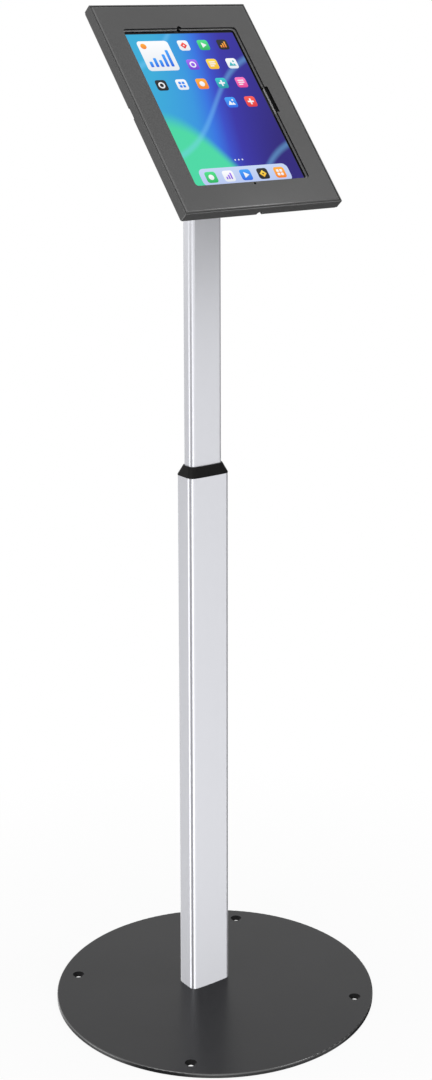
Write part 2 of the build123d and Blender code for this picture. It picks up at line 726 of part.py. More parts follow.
# Front cover, folded down inside the tray's walls
cover_width = case_width - 2 * (case_sheet + cover_gap)
cover_height = case_height - 2 * (case_sheet + cover_gap)
cover_face = Plane(case_plane.offset(case_depth).origin, x_dir=(1, 0, 0), z_dir=-out_of_face)
cover_back = case_plane.offset(case_depth - case_sheet)
with BuildPart() as front_cover:
    add(folded_block(cover_face, cover_width, cover_height, cover_lip_depth, cover_edge_radius))
    add(
        folded_block(
            cover_face.offset(case_sheet),
            cover_width - 2 * case_sheet,
            cover_height - 2 * case_sheet,
            cover_lip_depth,
            cover_edge_radius - case_sheet,
        ),
        mode=Mode.SUBTRACT,
    )
    with BuildSketch(cover_back):
        with GridLocations(cover_width, cover_height, 2, 2):
            Rectangle(2 * cover_corner_relief, 2 * cover_corner_relief)
    extrude(amount=-cover_lip_depth, mode=Mode.SUBTRACT)
    with BuildSketch(cover_back):
        RectangleRounded(window_width, window_height, window_corner)
        with Locations((camera_notch_offset, window_height / 2)):
            Circle(camera_notch_radius)
        with Locations((0, -window_height / 2 - pinhole_drop)):
            Circle(pinhole_radius)
        with Locations((window_width / 2, side_notch_rise)):
            RectangleRounded(2 * side_notch_depth, side_notch_length, side_notch_corner)
    extrude(amount=case_sheet, mode=Mode.SUBTRACT)
    with BuildSketch(bottom_wall):
        with Locations((lock_offset, lock_inner_reach + lock_cam_seat + lock_cam_thickness / 2)):
            Rectangle(
                lock_cam_width + 2 * cam_slot_side_clearance,
                lock_cam_thickness + 2 * cam_slot_clearance,
            )
    extrude(amount=-3 * case_sheet, mode=Mode.SUBTRACT)
    with BuildSketch(top_wall.offset(-hook_tip_gap)):
        with Locations((0, hook_top - hook_thickness / 2)):
            with GridLocations(hook_spacing, 0, 2, 1):
                Rectangle(hook_width, hook_thickness)
    extrude(amount=hook_tip_gap - case_sheet - cover_gap - case_sheet / 2)
save(front_cover, "front_cover")

# Foam gasket and retaining frame behind the window, and the rivets that hold them
frame_front = cover_back.offset(-gasket_thickness)
frame_back = frame_front.offset(-frame_thickness)
with BuildPart() as window_gasket:
    with BuildSketch(frame_front):
        RectangleRounded(gasket_width, gasket_height, window_corner)
        RectangleRounded(
            window_width + 2 * gasket_window_margin,
            window_height + 2 * gasket_window_margin,
            window_corner,
            mode=Mode.SUBTRACT,
        )
        with Locations((0, -window_height / 2 - pinhole_drop)):
            Circle(pinhole_radius, mode=Mode.SUBTRACT)
    extrude(amount=gasket_thickness)
save(window_gasket, "window_gasket")

with BuildPart() as retaining_frame:
    with BuildSketch(frame_back):
        RectangleRounded(frame_width, frame_height, window_corner)
        RectangleRounded(
            window_width - 2 * frame_window_reveal,
            window_height - 2 * frame_window_reveal,
            window_corner,
            mode=Mode.SUBTRACT,
        )
        with Locations((camera_notch_offset, window_height / 2 - frame_window_reveal)):
            Circle(camera_notch_radius, mode=Mode.SUBTRACT)
        with Locations((0, -window_height / 2 - pinhole_drop)):
            Circle(pinhole_radius, mode=Mode.SUBTRACT)
        with Locations((window_width / 2 - frame_window_reveal, side_notch_rise + side_notch_length / 2)):
            Circle(button_hole_radius, mode=Mode.SUBTRACT)
        with GridLocations(frame_rivet_spacing_across, frame_rivet_spacing_along, 2, 3):
            Circle(frame_rivet_diameter / 2 + fixed_clearance, mode=Mode.SUBTRACT)
    extrude(amount=frame_thickness)
save(retaining_frame, "retaining_frame")

with BuildPart() as frame_rivets:
    with BuildSketch(frame_back):
        with GridLocations(frame_rivet_spacing_across, frame_rivet_spacing_along, 2, 3):
            Circle(frame_rivet_diameter / 2)
    extrude(amount=frame_thickness + gasket_thickness)
    with BuildSketch(frame_back):
        with GridLocations(frame_rivet_spacing_across, frame_rivet_spacing_along, 2, 3):
            Circle(frame_rivet_head_diameter / 2)
    extrude(amount=-frame_rivet_head_height)
save(frame_rivets, "frame_rivets")

# Tablet, and the foam that carries it
tablet_front = frame_back.offset(-tablet_front_gap)
tablet_back = tablet_front.offset(-tablet_thickness)
tablet_centre = (tablet_shift, tablet_rise)
with BuildPart() as tablet_housing:
    with BuildSketch(tablet_back):
        with Locations(tablet_centre):
            RectangleRounded(tablet_width, tablet_height, tablet_corner)
    extrude(amount=tablet_thickness - tablet_glass_thickness)
    fillet(tablet_housing.edges().group_by(out_axis)[0], tablet_edge_radius)
save(tablet_housing, "tablet_housing")

with BuildPart() as tablet_glass:
    with BuildSketch(tablet_front):
        with Locations(tablet_centre):
            RectangleRounded(
                tablet_width - 2 * tablet_glass_inset,
                tablet_height - 2 * tablet_glass_inset,
                tablet_corner - tablet_glass_inset,
            )
    extrude(amount=-tablet_glass_thickness)
save(tablet_glass, "tablet_glass")

foam_height = case_depth - 2 * case_sheet - gasket_thickness - frame_thickness - tablet_front_gap - tablet_thickness
with BuildPart() as rear_foam_strips:
    with BuildSketch(case_plane.offset(case_sheet)):
        with Locations(tablet_centre):
            with GridLocations(0, foam_strip_spacing, 1, foam_strip_count):
                Rectangle(foam_strip_width, foam_strip_height)
    extrude(amount=foam_height)
save(rear_foam_strips, "rear_foam_strips")

with BuildPart() as corner_holders:
    with BuildSketch(case_plane.offset(case_sheet)):
        with Locations(tablet_centre):
            RectangleRounded(
                tablet_width + 2 * holder_thickness,
                tablet_height + 2 * holder_thickness,
                holder_thickness / 2,
            )
            Rectangle(tablet_width - 2 * holder_arm, tablet_height + 2 * holder_thickness, mode=Mode.SUBTRACT)
            Rectangle(tablet_width + 2 * holder_thickness, tablet_height - 2 * holder_arm, mode=Mode.SUBTRACT)
            RectangleRounded(
                tablet_width + 2 * holder_clearance,
                tablet_height + 2 * holder_clearance,
                tablet_corner + holder_clearance,
                mode=Mode.SUBTRACT,
            )
    extrude(amount=holder_height)
save(corner_holders, "corner_holders")

# Cam lock in the case's bottom edge
lock_place = (lock_offset, lock_edge_distance - case_height / 2)
barrel_length = lock_rear_reach + lock_inner_reach
with BuildPart() as lock_barrel:
    with BuildSketch(case_plane.offset(-lock_rear_reach)):
        with Locations(lock_place):
            Circle(lock_flange_diameter / 2)
    extrude(amount=lock_rear_reach)
    chamfer(lock_barrel.edges().group_by(out_axis)[0], lock_flange_thickness / 2)
    with BuildSketch(case_plane):
        with Locations(lock_place):
            Circle(lock_barrel_diameter / 2)
    extrude(amount=lock_inner_reach)
    with BuildSketch(case_plane.offset(-lock_rear_reach)):
        with Locations(lock_place):
            Circle(lock_plug_diameter / 2 + running_clearance)
    extrude(amount=barrel_length, mode=Mode.SUBTRACT)
save(lock_barrel, "lock_barrel")

with BuildPart() as lock_nut:
    with BuildSketch(case_plane.offset(case_sheet)):
        with Locations(lock_place):
            RegularPolygon(lock_nut_width / 2, 6, major_radius=False)
            Circle(lock_barrel_diameter / 2 + fixed_clearance, mode=Mode.SUBTRACT)
    extrude(amount=lock_nut_height)
save(lock_nut, "lock_nut")

with BuildPart() as lock_plug:
    with BuildSketch(case_plane.offset(lock_plug_recess - lock_rear_reach)):
        with Locations(lock_place):
            Circle(lock_plug_diameter / 2)
    extrude(amount=barrel_length + lock_cam_seat - lock_plug_recess)
    with BuildSketch(case_plane.offset(lock_plug_recess - lock_rear_reach)):
        with Locations(lock_place):
            SlotOverall(keyway_length, keyway_width)
    extrude(amount=keyway_depth, mode=Mode.SUBTRACT)
    with BuildSketch(case_plane.offset(lock_inner_reach + lock_cam_seat)):
        with Locations(lock_place):
            Circle(cam_screw_diameter / 2 + fixed_clearance)
    extrude(amount=-cam_screw_length - fixed_clearance, mode=Mode.SUBTRACT)
save(lock_plug, "lock_plug")

cam_seat = case_plane.offset(lock_inner_reach + lock_cam_seat)
with BuildPart() as lock_cam:
    with BuildSketch(cam_seat):
        with Locations(lock_place):
            Circle(lock_cam_width / 2)
            Rectangle(lock_cam_length, lock_cam_width, align=(Align.MIN, Align.CENTER))
            Circle(cam_screw_diameter / 2 + fixed_clearance, mode=Mode.SUBTRACT)
    extrude(amount=lock_cam_thickness)
save(lock_cam, "lock_cam")

with BuildPart() as cam_screw:
    with BuildSketch(cam_seat.offset(lock_cam_thickness)):
        with Locations(lock_place):
            Circle(cam_screw_head_diameter / 2)
    extrude(amount=cam_screw_head_height)
    with BuildSketch(cam_seat.offset(lock_cam_thickness)):
        with Locations(lock_place):
            Circle(cam_screw_diameter / 2)
    extrude(amount=-lock_cam_thickness - cam_screw_length)
save(cam_screw, "cam_screw")
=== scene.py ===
"""Looks of the adjustable tablet floor stand, in metres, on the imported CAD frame.

The tilted case has its own directions: across it, up its face and out of its face. Places on it are
counted in those from the tilt pivot.
"""
import json
import math

import bpy
from mathutils import Matrix, Vector


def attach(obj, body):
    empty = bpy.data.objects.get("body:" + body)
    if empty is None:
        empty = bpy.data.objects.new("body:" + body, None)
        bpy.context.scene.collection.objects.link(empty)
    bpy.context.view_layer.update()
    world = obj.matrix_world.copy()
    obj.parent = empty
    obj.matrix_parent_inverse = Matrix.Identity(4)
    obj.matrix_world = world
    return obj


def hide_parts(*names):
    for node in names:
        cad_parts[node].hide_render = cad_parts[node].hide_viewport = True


MM = 0.001

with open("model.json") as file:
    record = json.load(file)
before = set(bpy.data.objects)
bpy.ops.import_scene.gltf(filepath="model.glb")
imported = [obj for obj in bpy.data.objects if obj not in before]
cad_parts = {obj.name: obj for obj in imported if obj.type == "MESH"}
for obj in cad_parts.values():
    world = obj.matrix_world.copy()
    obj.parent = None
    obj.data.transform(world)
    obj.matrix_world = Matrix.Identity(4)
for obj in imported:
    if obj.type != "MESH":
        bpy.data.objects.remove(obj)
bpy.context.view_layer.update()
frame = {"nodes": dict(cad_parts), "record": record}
nodes = frame["nodes"]
record = frame["record"]

# Directions of the tilted case and the place of its pivot, from the joints that tilt and turn it
joints = {joint["name"]: joint for joint in record["behaviour"]["joints"]}
ACROSS = Vector(joints["head_tilt"]["axis"])
OUT_OF_FACE = Vector(joints["head_swivel"]["axis"]).normalized()
UP_FACE = OUT_OF_FACE.cross(ACROSS)
PIVOT = Vector(joints["head_tilt"]["pos_m"])


def case_matrix(across, up, out):
    """Matrix that lays a flat piece on the case at a place from the pivot, its own +Z out of the face."""
    place = PIVOT + ACROSS * across + UP_FACE * up + OUT_OF_FACE * out
    return Matrix((
        (ACROSS.x, UP_FACE.x, OUT_OF_FACE.x, place.x),
        (ACROSS.y, UP_FACE.y, OUT_OF_FACE.y, place.y),
        (ACROSS.z, UP_FACE.z, OUT_OF_FACE.z, place.z),
        (0, 0, 0, 1),
    ))


# Camera, from a fit to the base's outline, the pole's edges and the case's corners. It stands in front
# of the stand and to its left.
LOOK_TURN = math.radians(36.28)
LOOK_DOWN = math.radians(12.56)
CAMERA_PLACE = (-1.2701, -1.7670, 1.2538)
LENS = 62.74
SHIFT_ACROSS = -0.0149
SHIFT_UP = -0.1296

look = Vector((
    math.sin(LOOK_TURN) * math.cos(LOOK_DOWN),
    math.cos(LOOK_TURN) * math.cos(LOOK_DOWN),
    -math.sin(LOOK_DOWN),
))
camera_data = bpy.data.cameras.new("photo_camera")
camera_data.sensor_width = 36
camera_data.lens = LENS
camera_data.shift_x = SHIFT_ACROSS
camera_data.shift_y = SHIFT_UP
camera_data.clip_end = 50
camera = bpy.data.objects.new("photo_camera", camera_data)
camera.location = CAMERA_PLACE
camera.rotation_euler = look.to_track_quat("-Z", "Y").to_euler()
bpy.context.scene.collection.objects.link(camera)
bpy.context.scene.camera = camera
bpy.context.scene.view_settings.view_transform = "Standard"


# Materials
def hex_colour(code):
    """Linear colour of an sRGB hex code."""
    channels = [int(code[i:i + 2], 16) / 255 for i in (0, 2, 4)]
    linear = [c / 12.92 if c <= 0.04045 else ((c + 0.055) / 1.055) ** 2.4 for c in channels]
    return (*linear, 1)


def add_node(tree, kind, settings=None, links=None):
    """Adds a node to a tree, sets its sockets or properties, and links its inputs."""
    node = tree.nodes.new(kind)
    for name, value in (settings or {}).items():
        if isinstance(name, str) and hasattr(node, name):
            setattr(node, name, value)
        else:
            node.inputs[name].default_value = value
    for name, socket in (links or {}).items():
        tree.links.new(socket, node.inputs[name])
    return node


def new_material(name):
    """Material with an empty node tree, and the tree."""
    material = bpy.data.materials.new(name)
    material.use_nodes = True
    tree = material.node_tree
    tree.nodes.clear()
    return material, tree


def finish_material(tree, shader):
    """Joins a shader to the material's output."""
    add_node(tree, "ShaderNodeOutputMaterial", links={"Surface": shader.outputs[0]})


def set_stops(ramp, stops):
    """Gives a colour ramp its stops, each a place from 0 to 1 and a colour, in rising order."""
    elements = ramp.color_ramp.elements
    elements[0].position, elements[0].color = stops[0]
    elements[1].position, elements[1].color = stops[-1]
    for place, colour in stops[1:-1]:
        elements.new(place).color = colour


# Between these two lie most of the values of a noise texture.
NOISE_LOW = 0.3
NOISE_HIGH = 0.7


def powder_coat(name, greys, roughness, grain, gloss=0.0, shine=0.5):
    """Baked powder coat: an even satin colour with a fine pebbled skin, and some flow gloss on it."""
    pebble_depth = 0.06 * MM
    pebble_share = 0.35
    drift_size = 90 * MM
    polyester_ior = 1.5
    gloss_roughness = 0.16
    darkest = 0.4
    lightest = 0.95
    dark, light = greys
    material, tree = new_material(name)
    place = add_node(tree, "ShaderNodeTexCoord").outputs["Object"]
    pebbles = add_node(
        tree, "ShaderNodeTexNoise", {"Scale": 1 / grain, "Detail": 2.0, "Roughness": 0.6}, {"Vector": place},
    )
    drift = add_node(tree, "ShaderNodeTexNoise", {"Scale": 1 / drift_size, "Detail": 2.0}, {"Vector": place})
    blend = add_node(
        tree, "ShaderNodeMath", {"operation": "MULTIPLY_ADD", 1: pebble_share},
        {0: pebbles.outputs["Fac"], 2: drift.outputs["Fac"]},
    )
    tone = add_node(
        tree, "ShaderNodeMapRange", {"From Min": darkest, "From Max": lightest}, {"Value": blend.outputs[0]},
    )
    mix = add_node(
        tree, "ShaderNodeMix", {"data_type": "RGBA", 6: hex_colour(dark), 7: hex_colour(light)},
        {0: tone.outputs[0]},
    )
    bump = add_node(
        tree, "ShaderNodeBump", {"Strength": 0.35, "Distance": pebble_depth},
        {"Height": pebbles.outputs["Fac"]},
    )
    shader = add_node(
        tree, "ShaderNodeBsdfPrincipled",
        {
            "Roughness": roughness, "IOR": polyester_ior, "Specular IOR Level": shine,
            "Coat Weight": gloss, "Coat Roughness": gloss_roughness,
        },
        {"Base Color": mix.outputs[2], "Normal": bump.outputs[0]},
    )
    finish_material(tree, shader)
    return material


# Polyester powder coats. The base is smoother and darker than the case, which has a fine sandy skin.
# On the base's rounded rim and the case's bends the film is thicker and glossier, so both draw thin
# light lines. The frame in the window is a pale grey, and the cast joint is nearly black. The real
# grain is under half a millimetre, and is drawn coarser here so that it shows.
BASE_GREYS = ("202022", "252527")
CASE_GREYS = ("404040", "474747")
base_coat = powder_coat("satin_powder_coat_base", BASE_GREYS, roughness=0.28, grain=1.6 * MM, shine=0.32)
rim_coat = powder_coat(
    "thick_powder_coat_rim", BASE_GREYS, roughness=0.24, grain=1.6 * MM, gloss=1.0, shine=1.0,
)
case_coat = powder_coat(
    "sandy_powder_coat_case", CASE_GREYS, roughness=0.7, grain=1.2 * MM, gloss=0.42, shine=0.54,
)
bend_coat = powder_coat(
    "thick_powder_coat_bend", CASE_GREYS, roughness=0.6, grain=1.2 * MM, gloss=1.0, shine=0.9,
)
frame_coat = powder_coat(
    "grey_powder_coat_frame", ("8a8a8a", "929292"), roughness=0.45, grain=1.2 * MM, gloss=0.4,
)
joint_coat = powder_coat("black_powder_coat_joint", ("1c1c1d", "232324"), roughness=0.42, grain=1.2 * MM)


def metal(name, colour, roughness, grain, depth, stretch=(1, 1, 1), bare=1.0):
    """Bare, plated or anodised metal, with a fine grain that a stretch draws out into lines."""
    smoother = 0.03
    rougher = 0.04
    material, tree = new_material(name)
    place = add_node(tree, "ShaderNodeTexCoord").outputs["Object"]
    drawn = add_node(tree, "ShaderNodeMapping", {"Scale": stretch}, {"Vector": place})
    lines = add_node(
        tree, "ShaderNodeTexNoise", {"Scale": 1 / grain, "Detail": 3.0, "Roughness": 0.55},
        {"Vector": drawn.outputs[0]},
    )
    rough = add_node(
        tree, "ShaderNodeMapRange",
        {
            "From Min": NOISE_LOW, "From Max": NOISE_HIGH,
            "To Min": roughness - smoother, "To Max": roughness + rougher,
        },
        {"Value": lines.outputs["Fac"]},
    )
    bump = add_node(
        tree, "ShaderNodeBump", {"Strength": 0.25, "Distance": depth}, {"Height": lines.outputs["Fac"]},
    )
    shader = add_node(
        tree, "ShaderNodeBsdfPrincipled", {"Base Color": hex_colour(colour), "Metallic": bare},
        {"Roughness": rough.outputs[0], "Normal": bump.outputs[0]},
    )
    finish_material(tree, shader)
    return material


# The poles are extruded, finely brushed along their length and anodised: pale, with soft upright
# reflections. Real brush lines are finer than these, and wouldn't show. The clear oxide over the
# metal is why they count as less than half bare.
ALONG_THE_POLE = (1, 1, 0.02)
pole_aluminium = metal(
    "satin_anodised_aluminium", "f2f3f9", roughness=0.2, grain=0.8 * MM, depth=0.004 * MM,
    stretch=ALONG_THE_POLE, bare=0.45,
)
# The foot block is milled and left bare: a plain grey with an even grain.
machined_aluminium = metal("machined_aluminium", "c8c8ca", roughness=0.3, grain=0.6 * MM, depth=0.02 * MM)
# Screws, nuts and washers are zinc-plated steel: bright, a little warm, with soft highlights.
zinc_steel = metal("bright_zinc_plate", "b4b4b0", roughness=0.32, grain=0.5 * MM, depth=0.01 * MM)
# The lock is cast, polished and nickel-plated: the smoothest metal here, with sharp highlights.
nickel_plate = metal("nickel_plated_zinc", "d2d0cb", roughness=0.18, grain=0.5 * MM, depth=0.005 * MM)
# The tablet's shell is blasted and anodised: an even, dull silver grey.
tablet_metal = metal(
    "blasted_anodised_tablet_shell", "9a9ca0", roughness=0.4, grain=0.3 * MM, depth=0.01 * MM,
)


def fine_skin(name, colour, roughness, grain, depth, shine=0.5):
    """Plastic, rubber, foam, fibre or blackened steel, with the skin that its mould or oxide leaves."""
    spread = 0.05
    plastic_ior = 1.49
    material, tree = new_material(name)
    place = add_node(tree, "ShaderNodeTexCoord").outputs["Object"]
    skin = add_node(tree, "ShaderNodeTexNoise", {"Scale": 1 / grain, "Detail": 3.0}, {"Vector": place})
    rough = add_node(
        tree, "ShaderNodeMapRange",
        {
            "From Min": NOISE_LOW, "From Max": NOISE_HIGH,
            "To Min": roughness - spread, "To Max": roughness + spread,
        },
        {"Value": skin.outputs["Fac"]},
    )
    bump = add_node(
        tree, "ShaderNodeBump", {"Strength": 0.3, "Distance": depth}, {"Height": skin.outputs["Fac"]},
    )
    shader = add_node(
        tree, "ShaderNodeBsdfPrincipled",
        {"Base Color": hex_colour(colour), "IOR": plastic_ior, "Specular IOR Level": shine},
        {"Roughness": rough.outputs[0], "Normal": bump.outputs[0]},
    )
    finish_material(tree, shader)
    return material


# The collar has a spark-eroded skin: deep black, with hardly a highlight.
collar_plastic = fine_skin(
    "moulded_black_nylon", "060606", roughness=0.5, grain=0.8 * MM, depth=0.05 * MM, shine=0.18,
)
# The glide and the clamp's pad are slippery acetal: black with a waxy sheen.
glide_plastic = fine_skin("moulded_black_acetal", "191919", roughness=0.4, grain=0.8 * MM, depth=0.03 * MM)
# The pads under the base are soft rubber: dull and dark.
pad_rubber = fine_skin("moulded_rubber", "161616", roughness=0.75, grain=1.0 * MM, depth=0.08 * MM)
# Foam in the case: black cells that take nearly all light.
black_foam = fine_skin(
    "closed_cell_foam", "080808", roughness=0.95, grain=0.8 * MM, depth=0.2 * MM, shine=0.15,
)
# The clamp's screw and the tilt bolt have a black oxide: dark, with an oily highlight.
black_steel = fine_skin("black_oxide_steel", "1a1a1b", roughness=0.35, grain=0.8 * MM, depth=0.02 * MM)
# The holes in the base are painted near-black as painted shade, for the shade in their countersinks: dark
# and dull beside the satin top.
hole_painted_shade = fine_skin(
    "painted_shade_holes", "0e0e0f", roughness=0.6, grain=0.8 * MM, depth=0.02 * MM, shine=0.15,
)
# The window's cut edge is painted near-black as painted shade, for the shadow in the gap: a dark line
# between the cover and the grey frame.
cut_edge_painted_shade = fine_skin(
    "painted_shade_cut_edge", "080808", roughness=0.7, grain=0.8 * MM, depth=0.02 * MM, shine=0.1,
)
# Friction washers are pressed fibre: brown, rough and dull.
friction_fibre = fine_skin(
    "pressed_friction_fibre", "4a3828", roughness=0.8, grain=0.8 * MM, depth=0.1 * MM,
)

# An anti-reflective coating keeps the tablet's glass from mirroring much.
COATED_SHINE = 0.2


def coated_glass(name):
    """Tablet cover glass, black behind, with a polished and coated face that fingers smear a little."""
    smear_size = 25 * MM
    material, tree = new_material(name)
    place = add_node(tree, "ShaderNodeTexCoord").outputs["Object"]
    smear = add_node(tree, "ShaderNodeTexNoise", {"Scale": 1 / smear_size, "Detail": 3.0}, {"Vector": place})
    rough = add_node(
        tree, "ShaderNodeMapRange", {"To Min": 0.05, "To Max": 0.12}, {"Value": smear.outputs["Fac"]},
    )
    shader = add_node(
        tree, "ShaderNodeBsdfPrincipled",
        {"Base Color": hex_colour("08080a"), "Specular IOR Level": COATED_SHINE},
        {"Roughness": rough.outputs[0]},
    )
    finish_material(tree, shader)
    return material


nodes_of_finish = (
    (base_coat, ("base_plate",)),
    (case_coat, ("rear_case", "front_cover", "mounting_plate")),
    (frame_coat, ("retaining_frame",)),
    (joint_coat, ("tilt_yoke", "tilt_knuckle")),
    (pole_aluminium, ("lower_pole", "upper_pole")),
    (machined_aluminium, ("foot_block",)),
    (zinc_steel, (
        "pole_screws", "foot_side_screws", "lock_insert", "glide_screw", "yoke_screws", "tilt_nut",
        "tilt_washers", "spring_washer", "swivel_bolt", "case_screws", "clinch_nuts", "frame_rivets",
        "lock_nut", "lock_cam", "cam_screw",
    )),
    (nickel_plate, ("lock_barrel", "lock_plug")),
    (tablet_metal, ("tablet_housing",)),
    (collar_plastic, ("collar",)),
    (glide_plastic, ("lower_glide", "lock_pad")),
    (pad_rubber, ("foot_pads",)),
    (black_foam, ("corner_holders", "rear_foam_strips", "window_gasket")),
    (black_steel, ("height_lock_screw", "tilt_bolt")),
    (friction_fibre, ("friction_washers", "swivel_washer")),
    (coated_glass("coated_cover_glass"), ("tablet_glass",)),
)
for finish, names in nodes_of_finish:
    for name in names:
        for slot in nodes[name].material_slots:
            slot.material = finish


# Pieces with broken edges
body_of_node = {}
for body, members in record["behaviour"]["bodies"].items():
    for name in members:
        body_of_node[name] = body

# Corners of the CAD triangles this close are one, and triangles within this angle are one face.
MERGE_DISTANCE = 0.002 * MM
SAME_PLANE = math.radians(0.2)
# An edge this sharp or sharper gets a round.
CORNER_ANGLE = math.radians(35)


def deselect():
    """Nothing is selected or active afterwards."""
    bpy.ops.object.select_all(action="DESELECT")
    bpy.context.view_layer.objects.active = None


def edge_broken(node_name, edge):
    """Copy of a node whose sharp edges are broken by a small round, as sheet, cast and moulded edges are."""
    piece = bpy.data.objects.new(node_name + "_edged", nodes[node_name].data.copy())
    bpy.context.scene.collection.objects.link(piece)
    deselect()
    piece.select_set(True)
    bpy.context.view_layer.objects.active = piece
    bpy.ops.mesh.customdata_custom_splitnormals_clear()
    bpy.ops.object.mode_set(mode="EDIT")
    bpy.ops.mesh.select_all(action="SELECT")
    bpy.ops.mesh.remove_doubles(threshold=MERGE_DISTANCE)
    bpy.ops.mesh.dissolve_limited(angle_limit=SAME_PLANE)
    bpy.ops.object.mode_set(mode="OBJECT")
    rounding = piece.modifiers.new("edge_round", "BEVEL")
    rounding.width = edge
    rounding.segments = 2
    rounding.limit_method = "ANGLE"
    rounding.angle_limit = CORNER_ANGLE
    rounding.use_clamp_overlap = True
    bpy.ops.object.modifier_apply(modifier=rounding.name)
    bpy.ops.object.shade_smooth_by_angle(angle=CORNER_ANGLE)
    flats = piece.modifiers.new("flat_faces_stay_flat", "WEIGHTED_NORMAL")
    flats.mode = "FACE_AREA"
    flats.weight = 100
    flats.keep_sharp = True
    bpy.ops.object.modifier_apply(modifier=flats.name)
    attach(piece, body_of_node[node_name])
    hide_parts(node_name)
    return piece


# Width of the round on each piece's edges
edge_of_piece = (
    ("front_cover", 0.35 * MM), ("rear_case", 0.35 * MM), ("retaining_frame", 0.2 * MM),
    ("base_plate", 0.3 * MM), ("collar", 0.5 * MM), ("lower_pole", 0.2 * MM), ("upper_pole", 0.2 * MM),
    ("mounting_plate", 0.3 * MM), ("tilt_yoke", 0.6 * MM), ("tilt_knuckle", 0.4 * MM),
)
edged = {name: edge_broken(name, edge) for name, edge in edge_of_piece}

# The cover's window, notches and pinhole lie within this reach of the pivot, and its folds outside it.
CUTS_ACROSS = 95 * MM
CUTS_UP = 122 * MM
# Two directions are parallel if their product is at least the first of these, and square if it is
# under the second.
PARALLEL = 0.995
SQUARE = 0.1
BEND_SLOT = 1
SHADE_EDGE_SLOT = 2
# On the front cover, the window's cut edges take the near-black painted shade. Other rounded faces take the
# glossier bend coat.
for name in ("front_cover", "rear_case"):
    folded = edged[name]
    folded.data.materials.append(bend_coat)
    folded.data.materials.append(cut_edge_painted_shade)
    for face in folded.data.polygons:
        place = face.center - PIVOT
        in_cuts = abs(place.dot(ACROSS)) < CUTS_ACROSS and abs(place.dot(UP_FACE)) < CUTS_UP
        is_cut_edge = abs(face.normal.dot(OUT_OF_FACE)) < SQUARE
        is_flat = any(abs(face.normal.dot(side)) >= PARALLEL for side in (ACROSS, UP_FACE, OUT_OF_FACE))
        if name == "front_cover" and in_cuts and is_cut_edge:
            face.material_index = SHADE_EDGE_SLOT
        elif not is_flat:
            face.material_index = BEND_SLOT

# The four holes in the base lie in this ring, and its rounded rim outside the last radius.
HOLE_RING_START = 165 * MM
HOLE_RING_END = 190 * MM
RIM_START = 195 * MM
# Upward part of a face's direction: least on a level face, and least and most on the rim
LEVEL = 0.95
RIM_LOW = 0.05
RIM_HIGH = 0.97
HOLE_SHADE_SLOT = 1
RIM_SLOT = 2
base_piece = edged["base_plate"]
base_piece.data.materials.append(hole_painted_shade)
base_piece.data.materials.append(rim_coat)
# Faces inside the holes take the near-black painted shade, and the rounded rim takes the glossier coat.
for face in base_piece.data.polygons:
    from_middle = math.hypot(face.center.x, face.center.y)
    if HOLE_RING_START < from_middle < HOLE_RING_END and abs(face.normal.z) < LEVEL:
        face.material_index = HOLE_SHADE_SLOT
    elif from_middle > RIM_START and RIM_LOW < face.normal.z < RIM_HIGH:
        face.material_index = RIM_SLOT

# As in the photo, the poles' reflections show neither the dark base nor its pads and screws.
for piece in (base_piece, nodes["foot_pads"], nodes["pole_screws"]):
    piece.visible_glossy = False


# Picture on the display: waves of colour behind, rows of plain icons, a card and a dock
DISPLAY_WIDTH = 156 * MM
DISPLAY_HEIGHT = 219 * MM
DISPLAY_ACROSS = -3 * MM
DISPLAY_UP = -4.5 * MM
glass_face = max(
    (nodes["tablet_glass"].matrix_world @ corner.co - PIVOT).dot(OUT_OF_FACE)
    for corner in nodes["tablet_glass"].data.vertices
)
# The picture's flat shapes lie on each other in layers, counted from the glass.
LAYER = 0.02 * MM
WALLPAPER = 1
PANEL = 2
ICON = 3
SIGN = 4
SIGN_TOP = 5


def lit_pixels(name):
    """Material of lit pixels under the coated glass, its tree, and the shader that takes their colour."""
    material, tree = new_material(name)
    shader = add_node(
        tree, "ShaderNodeBsdfPrincipled",
        {
            "Base Color": (0, 0, 0, 1), "Roughness": 0.08, "Specular IOR Level": COATED_SHINE,
            "Emission Strength": 1.0,
        },
    )
    finish_material(tree, shader)
    return material, tree, shader


